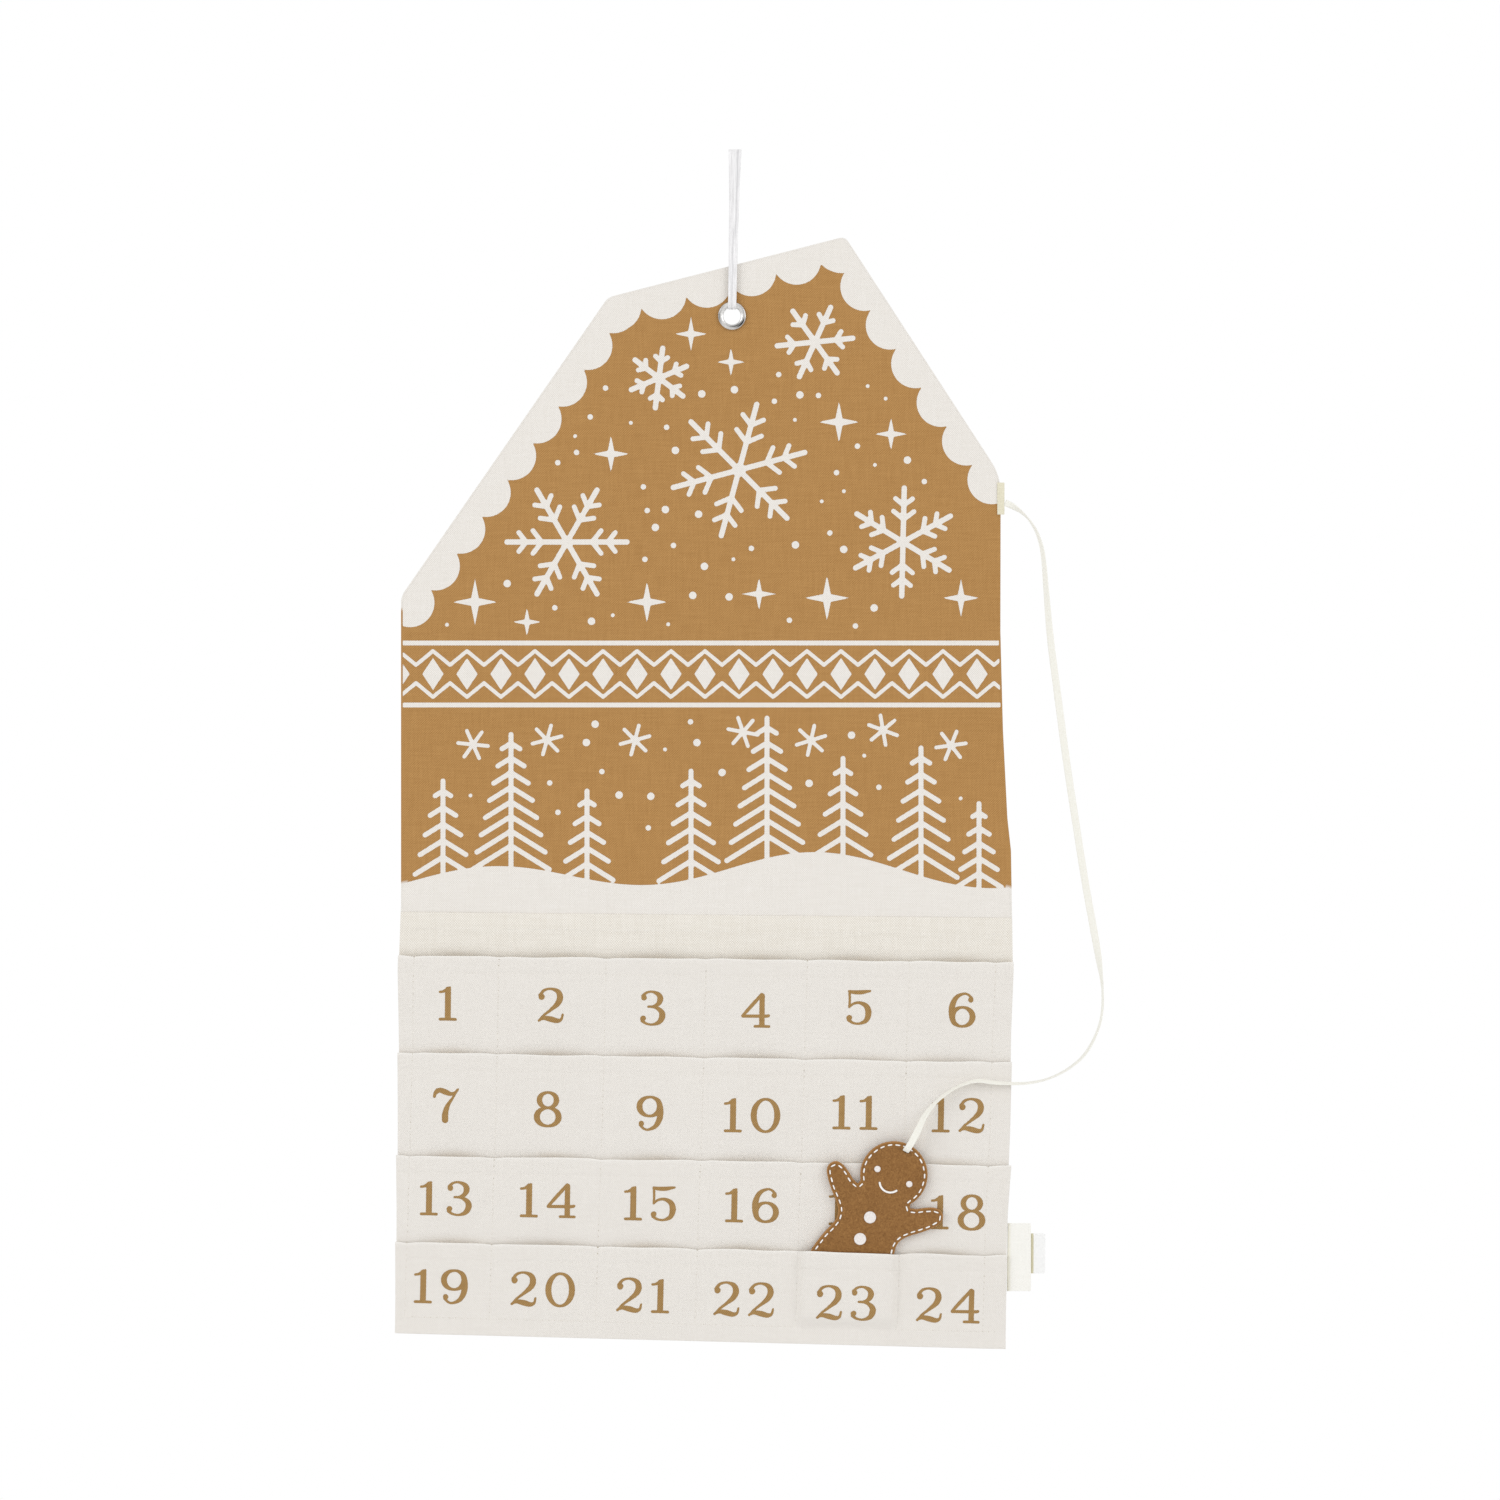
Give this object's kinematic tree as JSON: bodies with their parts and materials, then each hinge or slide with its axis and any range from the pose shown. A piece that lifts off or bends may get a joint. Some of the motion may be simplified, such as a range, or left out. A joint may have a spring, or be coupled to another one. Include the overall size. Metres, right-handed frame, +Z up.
{
  "type": "hanging advent calendar",
  "caption": "Gabled canvas wall calendar with rows of numbered pockets, hung from a ribbon through an eyelet, and a felt marker on a tape that stands in a pocket.",
  "frame": {"origin": "the point where the inside of the hanging ribbon's fold lies over its hook", "axes": "+Z up along the ribbon, -Y out of the printed front, +X to the right as seen from the front"},
  "size_m": [0.3555, 0.0114, 0.5999],
  "materials": {
    "canvas": "plain woven natural canvas",
    "printed_canvas": "plain woven canvas printed in brown",
    "coarse_canvas": "coarser plain weave",
    "pocket_canvas": "plain woven canvas with printed numbers",
    "cotton_thread": "matt sewing thread",
    "satin_ribbon": "soft satin sheen",
    "woven_tape": "narrow woven tape",
    "label_cloth": "soft woven label",
    "label_satin": "glossy woven tab",
    "brown_felt": "matt wool felt",
    "white_thread": "white embroidery thread",
    "white_dot": "white embroidered dot",
    "nickel": "bright rolled nickel"
  },
  "bodies": {
    "ribbon": {"hanging_ribbon": "satin_ribbon"},
    "panel": {"back_canvas": "canvas", "front_canvas": "printed_canvas", "pocket_backing": "coarse_canvas", "pocket_row_1": "pocket_canvas", "pocket_row_2": "pocket_canvas", "pocket_row_3": "pocket_canvas", "pocket_row_4": "pocket_canvas", "hem_seam_1": "cotton_thread", "hem_seam_2": "cotton_thread", "hem_seam_3": "cotton_thread", "hem_seam_4": "cotton_thread", "column_seam_1": "cotton_thread", "column_seam_2": "cotton_thread", "column_seam_3": "cotton_thread", "column_seam_4": "cotton_thread", "column_seam_5": "cotton_thread", "column_seam_6": "cotton_thread", "column_seam_7": "cotton_thread", "backing_top_seam": "cotton_thread", "bottom_seam": "cotton_thread", "eyelet": "nickel", "eyelet_washer": "nickel", "tether_anchor": "woven_tape"},
    "marker": {"marker_back_felt": "brown_felt", "marker_front_felt": "brown_felt", "marker_stitching": "white_thread", "marker_smile": "white_thread", "marker_eye_left": "white_dot", "marker_eye_right": "white_dot", "marker_button_1": "white_dot", "marker_button_2": "white_dot", "tether_tape": "woven_tape"},
    "labels": {"side_label": "label_cloth", "care_tab": "label_satin"}
  },
  "joints": [
    {"name": "panel_swing", "type": "hinge", "parent": "ribbon", "child": "panel", "pos_m": [-0.0015, 0, -0.083], "axis": [0, 1, 0], "range_deg": [-30, 30]},
    {"name": "marker_lift", "type": "slide", "parent": "panel", "child": "marker", "axis": [0, -0.04, 0.9992], "range_m": [0, 0.045]},
    {"name": "label_fold", "type": "hinge", "parent": "panel", "child": "labels", "pos_m": [0.13624, 0.00065, -0.55375], "axis": [0, 0, 1], "range_deg": [-45, 45], "stiffness_Nm_per_rad": 0.0001}
  ]
}
